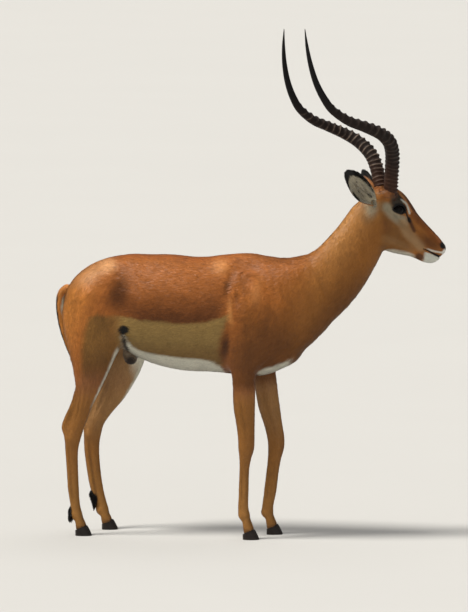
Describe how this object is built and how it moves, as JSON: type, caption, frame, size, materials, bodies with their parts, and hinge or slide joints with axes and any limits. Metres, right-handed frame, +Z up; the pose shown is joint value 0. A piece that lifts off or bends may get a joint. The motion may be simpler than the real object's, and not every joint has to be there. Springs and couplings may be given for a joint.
{
  "type": "impala antelope",
  "caption": "Life-size still model of an impala ram standing with its head turned to the left, with lyre-shaped ringed horns, parted into head, neck, trunk, tail and legs",
  "frame": {"origin": "middle of the overall box in plan, at the level of the hoof soles", "axes": "+X towards the head end, +Y to the animal's left, +Z up"},
  "size_m": [1.2144, 0.3785, 1.6179],
  "materials": {
    "coat_red": "short sleek hair, red-brown saddle over a fawn flank and white belly",
    "coat_tan": "short sleek hair, tan",
    "tail_hair": "hair, dark above and white below",
    "ear": "thin haired skin, pale inside with a black tip",
    "horn": "ringed horn, satin, smooth black tips",
    "eye": "wet dark eye",
    "hoof": "horn, satin"
  },
  "bodies": {
    "root": {"trunk": "coat_red", "neck": "coat_tan", "head": "coat_tan", "horn_r": "horn", "eye_r": "eye", "ear_r": "ear", "horn_l": "horn", "eye_l": "eye", "ear_l": "ear", "tail": "tail_hair", "fore_forearm_r": "coat_tan", "fore_cannon_r": "coat_tan", "fore_pastern_r": "coat_tan", "fore_claw_out_r": "hoof", "fore_claw_in_r": "hoof", "hind_thigh_r": "coat_tan", "hind_shank_r": "coat_tan", "hind_cannon_r": "coat_tan", "hind_pastern_r": "coat_tan", "hind_claw_out_r": "hoof", "hind_claw_in_r": "hoof", "fore_forearm_l": "coat_tan", "fore_cannon_l": "coat_tan", "fore_pastern_l": "coat_tan", "fore_claw_out_l": "hoof", "fore_claw_in_l": "hoof", "hind_thigh_l": "coat_tan", "hind_shank_l": "coat_tan", "hind_cannon_l": "coat_tan", "hind_pastern_l": "coat_tan", "hind_claw_out_l": "hoof", "hind_claw_in_l": "hoof"}
  },
  "joints": []
}
